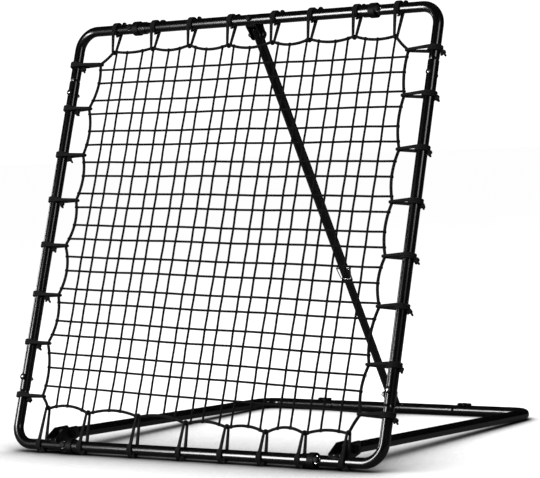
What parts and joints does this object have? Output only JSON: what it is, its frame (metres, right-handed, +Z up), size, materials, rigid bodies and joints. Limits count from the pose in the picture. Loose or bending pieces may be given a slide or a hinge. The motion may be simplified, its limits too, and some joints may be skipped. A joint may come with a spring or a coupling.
{
  "type": "pitch back rebounder",
  "caption": "Square tube frame with a laced net, leaning on a hinged ground base and held by a telescopic pinned stay; it returns thrown balls.",
  "frame": {"origin": "centre of the footprint, on the ground", "axes": "+X along the rails to the player's right, +Y from the net back to the rear rail, +Z up"},
  "size_m": [1.0332, 0.8786, 0.9854],
  "materials": {
    "powder_coat": "semi-gloss black powder coat",
    "plate": "satin black powder coat",
    "moulding": "matte black",
    "zinc": "bright zinc plate",
    "spring_wire": "bright spring steel",
    "net_cord": "knotted polyester cord",
    "elastic_cord": "braided elastic cord"
  },
  "bodies": {
    "base": {"arm_plug_left": "moulding", "arm_plug_right": "moulding", "base_side_left": "powder_coat", "base_side_right": "powder_coat", "foot_bolt": "zinc", "foot_nut": "zinc", "hinge_left_bolt": "zinc", "hinge_left_nut": "zinc", "hinge_right_bolt": "zinc", "hinge_right_nut": "zinc", "rear_left_nut": "zinc", "rear_left_screw": "zinc", "rear_rail": "powder_coat", "rear_right_nut": "zinc", "rear_right_screw": "zinc", "stay_foot_bracket": "plate"},
    "net_frame": {"bottom_rail": "powder_coat", "collar_bottom_left": "moulding", "collar_bottom_right": "moulding", "collar_top_left": "moulding", "collar_top_right": "moulding", "corner_bottom_left": "powder_coat", "corner_bottom_right": "powder_coat", "corner_top_left": "powder_coat", "corner_top_right": "powder_coat", "hinge_bracket_left": "plate", "hinge_bracket_right": "plate", "net": "net_cord", "net_border": "elastic_cord", "rail_bottom_left_bolt": "zinc", "rail_bottom_left_nut": "zinc", "rail_bottom_right_bolt": "zinc", "rail_bottom_right_nut": "zinc", "rail_top_left_bolt": "zinc", "rail_top_left_nut": "zinc", "rail_top_right_bolt": "zinc", "rail_top_right_nut": "zinc", "stay_bracket": "plate", "stay_bracket_bolt": "zinc", "stay_bracket_nut": "zinc", "stay_pivot_bolt": "zinc", "stay_pivot_nut": "zinc", "top_rail": "powder_coat", "upright_bottom_left_bolt": "zinc", "upright_bottom_left_nut": "zinc", "upright_bottom_right_bolt": "zinc", "upright_bottom_right_nut": "zinc", "upright_left": "powder_coat", "upright_right": "powder_coat", "upright_top_left_bolt": "zinc", "upright_top_left_nut": "zinc", "upright_top_right_bolt": "zinc", "upright_top_right_nut": "zinc"},
    "stay_outer": {"stay_outer": "powder_coat", "stay_end_ring": "moulding"},
    "stay_inner": {"stay_inner": "powder_coat"},
    "lock_pin": {"lock_pin": "zinc"},
    "pin_bail": {"pin_bail": "spring_wire"}
  },
  "joints": [
    {"name": "lean", "type": "hinge", "parent": "base", "child": "net_frame", "pos_m": [0, -0.37216, 0.03719], "axis": [1, 0, 0], "range_deg": [0, 14]},
    {"name": "stay_swing", "type": "hinge", "parent": "net_frame", "child": "stay_outer", "pos_m": [0, -0.09164, 0.93525], "axis": [1, 0, 0], "range_deg": [-5.47, 0]},
    {"name": "stay_slide", "type": "slide", "parent": "stay_outer", "child": "stay_inner", "axis": [0, 0.4944, -0.8692], "range_m": [0, 0.1606]},
    {"name": "lock_pin_play", "type": "slide", "parent": "stay_outer", "child": "lock_pin", "axis": [1, 0, 0], "range_m": [0, 0.004]},
    {"name": "bail_swing", "type": "hinge", "parent": "lock_pin", "child": "pin_bail", "pos_m": [0.0152, 0.22625, 0.37633], "axis": [0, 1, 0], "range_deg": [-100, 0]}
  ],
  "couplings": [
    {"joint": "stay_swing", "follows": "lean", "ratio": -0.38975},
    {"joint": "stay_slide", "follows": "lean", "m_per_rad": 0.65668}
  ]
}
